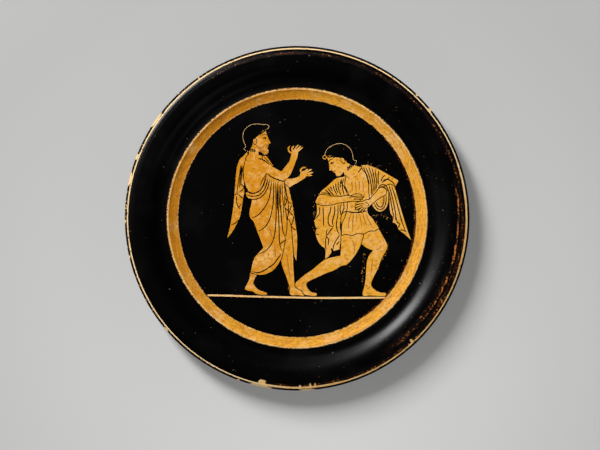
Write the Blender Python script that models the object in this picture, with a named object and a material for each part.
"""A shallow turned terracotta plate on a ring foot, with a moulded ring round its flat floor.

Blender 4.5. Metres, +Z up. The origin is on the resting plane, at the middle of the foot.
"""
import math

import bmesh
import bpy
from mathutils import Matrix, Vector

# Driving dimensions, in metres
PLATE_RADIUS = 0.0950  # outermost edge of the lip
FOOT_HEIGHT = 0.0078  # resting face up to the underside of the floor
FLOOR_THICKNESS = 0.0074  # clay under the picture field
FLOOR_RADIUS = 0.0655  # flat picture field
MOULDING_WIDTH = 0.0050  # hollow moulding that rises outwards from the floor
MOULDING_RISE = 0.0016  # outer edge of the hollow moulding above the floor
RIDGE_WIDTH = 0.0014  # rounded ridge along the top of the moulding
RIDGE_HEIGHT = 0.00025  # how far the ridge stands above the moulding
LEDGE_WIDTH = 0.0041  # shallow ledge between the ridge and the sloping rim
LEDGE_RISE = 0.0005  # lowest line of the ledge above the floor
RIM_RISE = 0.0023  # crest of the rim above the ledge
LIP_WIDTH = 0.0065  # crest of the rim out to its edge
LIP_DROP = 0.0028  # crest of the rim down to its widest point
RIM_THICKNESS = 0.0058  # rim from its crest to its underside
FOOT_RADIUS = 0.0640  # widest line of the ring foot
FOOT_WIDTH = 0.0064  # ring foot across its root
FOOT_BULGE = 0.0010  # how far the foot's outer side swells
FOOT_ROUND = 0.0008  # rounding of the foot's lower edges
UNDERCUT = 0.0014  # how far the rim's underside starts below the underside of the floor

RIM_LEAN = 2.7  # how early the sloping rim is steepest; higher is nearer the ledge

TURNS = 80  # facets round the plate
RIM_STEPS = 7  # stations up the sloping rim
ARC_STEPS = 4  # stations along a quarter arc
SMALL_ARC_STEPS = 1  # stations along a small rounding

# Chips in the lip: degrees round from +X, degrees down from the crest, and sizes in metres
CHIPS = {
    "lower_flake": {"turn": 258.0, "down": 52.0, "length": 0.0076, "width": 0.0042, "depth": 0.0005},
    "lower_nicks": {"turn": 272.8, "down": 52.0, "length": 0.0090, "width": 0.0030, "depth": 0.0004},
    "right_notch": {"turn": 313.0, "down": 50.0, "length": 0.0022, "width": 0.0034, "depth": 0.0005},
    "upper_right_nick": {"turn": 39.5, "down": 72.0, "length": 0.0032, "width": 0.0016, "depth": 0.0003},
    "upper_left_chip": {"turn": 145.0, "down": 74.0, "length": 0.0100, "width": 0.0018, "depth": 0.0004},
    "left_nick": {"turn": 159.0, "down": 74.0, "length": 0.0036, "width": 0.0016, "depth": 0.0003},
    "left_chip": {"turn": 166.8, "down": 74.0, "length": 0.0078, "width": 0.0018, "depth": 0.0004},
    "lower_left_nick": {"turn": 220.2, "down": 72.0, "length": 0.0030, "width": 0.0016, "depth": 0.0003},
}

# Heights and radii that follow from the sizes above
FLOOR_Z = FOOT_HEIGHT + FLOOR_THICKNESS
LEDGE_Z = FLOOR_Z + LEDGE_RISE
CREST_Z = LEDGE_Z + RIM_RISE
EDGE_Z = CREST_Z - LIP_DROP
RIM_UNDER_Z = CREST_Z - RIM_THICKNESS
MOULDING_RADIUS = FLOOR_RADIUS + MOULDING_WIDTH
RIDGE_RADIUS = MOULDING_RADIUS + RIDGE_WIDTH
LEDGE_RADIUS = RIDGE_RADIUS + LEDGE_WIDTH
CREST_RADIUS = PLATE_RADIUS - LIP_WIDTH
ROOT_RADIUS = FOOT_RADIUS - FOOT_BULGE
ROOT_Z = FOOT_HEIGHT - UNDERCUT
INNER_FOOT_RADIUS = ROOT_RADIUS - FOOT_WIDTH


def arc(centre, radii, start, end, steps):
    """Points along an elliptical arc, from one angle to another in degrees, both ends included."""
    points = []
    for step in range(steps + 1):
        angle = math.radians(start + (end - start) * step / steps)
        points.append((centre[0] + radii[0] * math.cos(angle), centre[1] + radii[1] * math.sin(angle)))
    return points


def sloping_rim():
    """The rim's inner slope: it leaves the ledge level, is steepest early, and reaches the crest level."""
    points = []
    for step in range(RIM_STEPS):
        along = step / RIM_STEPS
        climb = 1 - (1 - along) ** (RIM_LEAN + 1) * (1 + (RIM_LEAN + 1) * along)
        points.append((LEDGE_RADIUS + (CREST_RADIUS - LEDGE_RADIUS) * along, LEDGE_Z + RIM_RISE * climb))
    return points


def rim_underside():
    """From under the crest inwards and down to the root of the foot."""
    points = []
    for step in range(1, ARC_STEPS + 1):
        along = step / ARC_STEPS
        drop = (RIM_UNDER_Z - ROOT_Z) * (1 - math.cos(along * math.pi / 2))
        points.append((CREST_RADIUS + (ROOT_RADIUS - CREST_RADIUS) * along, RIM_UNDER_Z - drop))
    return points


def foot():
    """The ring foot from its outer root down, across the resting face and up its inner side."""
    middle_z = (ROOT_Z + FOOT_ROUND) / 2
    swell = arc((ROOT_RADIUS, middle_z), (FOOT_BULGE, middle_z - FOOT_ROUND), 60, -90, ARC_STEPS)
    outer = arc((ROOT_RADIUS - FOOT_ROUND, FOOT_ROUND), (FOOT_ROUND, FOOT_ROUND), -30, -90, SMALL_ARC_STEPS)
    inner_centre = (INNER_FOOT_RADIUS + FOOT_ROUND, FOOT_ROUND)
    inner = arc(inner_centre, (FOOT_ROUND, FOOT_ROUND), -90, -180, SMALL_ARC_STEPS)
    fillet_centre = (INNER_FOOT_RADIUS - FOOT_ROUND, FOOT_HEIGHT - FOOT_ROUND)
    fillet = arc(fillet_centre, (FOOT_ROUND, FOOT_ROUND), 0, 90, SMALL_ARC_STEPS)
    return swell + outer + inner + fillet


def plate_profile():
    """Half section of the plate, from the middle of the floor out over the lip and back underneath."""
    hollow_radius = (MOULDING_WIDTH**2 + MOULDING_RISE**2) / (2 * MOULDING_RISE)
    hollow_turn = 2 * math.degrees(math.atan2(MOULDING_RISE, MOULDING_WIDTH))
    hollow_centre = (FLOOR_RADIUS, FLOOR_Z + hollow_radius)
    hollow = arc(hollow_centre, (hollow_radius, hollow_radius), -90, -90 + hollow_turn, ARC_STEPS)
    ridge_z = FLOOR_Z + MOULDING_RISE
    ridge_centre = (MOULDING_RADIUS + RIDGE_WIDTH / 2, ridge_z)
    ridge = arc(ridge_centre, (RIDGE_WIDTH / 2, RIDGE_HEIGHT), 135, 0, ARC_STEPS)
    ledge = arc((LEDGE_RADIUS, ridge_z), (LEDGE_WIDTH, ridge_z - LEDGE_Z), 210, 250, ARC_STEPS - 1)
    lip_top = arc((CREST_RADIUS, EDGE_Z), (LIP_WIDTH, LIP_DROP), 90, 0, ARC_STEPS)
    lip_under = arc((CREST_RADIUS, EDGE_Z), (LIP_WIDTH, EDGE_Z - RIM_UNDER_Z), -15, -90, ARC_STEPS)
    middle_top = [(0.0, FLOOR_Z)]
    middle_under = [(0.0, FOOT_HEIGHT)]
    return (
        middle_top + hollow + ridge + ledge + sloping_rim()
        + lip_top + lip_under + rim_underside() + foot() + middle_under
    )


def fired_clay():
    """Near-black gloss on fired clay."""
    material = bpy.data.materials.new("slipped_clay")
    material.use_nodes = True
    shader = material.node_tree.nodes["Principled BSDF"]
    shader.inputs["Base Color"].default_value = (0.012, 0.011, 0.010, 1.0)
    shader.inputs["Roughness"].default_value = 0.32
    shader.inputs["Metallic"].default_value = 0.0
    return material


def turned_plate():
    """The plate as thrown and turned: its half section spun once round the vertical axis."""
    mesh = bpy.data.meshes.new("plate")
    form = bmesh.new()
    ring = [form.verts.new((radius, 0.0, height)) for radius, height in plate_profile()]
    edges = [form.edges.new(pair) for pair in zip(ring, ring[1:])]
    bmesh.ops.spin(
        form, geom=ring + edges, axis=(0, 0, 1), cent=(0, 0, 0),
        angle=math.tau, steps=TURNS, use_merge=True,
    )
    bmesh.ops.remove_doubles(form, verts=form.verts, dist=0.00001)
    bmesh.ops.recalc_face_normals(form, faces=form.faces)
    form.to_mesh(mesh)
    form.free()
    mesh.shade_smooth()
    mesh.set_sharp_from_angle(angle=math.radians(40))
    plate = bpy.data.objects.new("plate", mesh)
    plate.data.materials.append(fired_clay())
    bpy.context.collection.objects.link(plate)
    return plate


def chip_cutter():
    """One shallow scoop for each chip, set square to the rounded lip where the chip is."""
    mesh = bpy.data.meshes.new("chips")
    form = bmesh.new()
    for chip in CHIPS.values():
        down = math.radians(chip["down"])
        at = Vector((CREST_RADIUS + LIP_WIDTH * math.sin(down), 0.0, EDGE_Z + LIP_DROP * math.cos(down)))
        outwards = Vector((math.sin(down) / LIP_WIDTH, 0.0, math.cos(down) / LIP_DROP)).normalized()
        square = Vector((0, 0, 1)).rotation_difference(outwards).to_matrix().to_4x4()
        size = Matrix.Diagonal((chip["width"] / 2, chip["length"] / 2, chip["depth"], 1.0))
        turn = Matrix.Rotation(math.radians(chip["turn"]), 4, "Z")
        place = turn @ Matrix.Translation(at) @ square @ size
        bmesh.ops.create_icosphere(form, subdivisions=2, radius=1.0, matrix=place)
    form.to_mesh(mesh)
    form.free()
    cutter = bpy.data.objects.new("chips", mesh)
    cutter.hide_render = True
    cutter.display_type = "WIRE"
    bpy.context.collection.objects.link(cutter)
    return cutter


def main():
    for old in list(bpy.data.objects):
        bpy.data.objects.remove(old)
    plate = turned_plate()
    cut = plate.modifiers.new("chips", "BOOLEAN")
    cut.operation = "DIFFERENCE"
    cut.solver = "EXACT"
    cut.object = chip_cutter()


main()
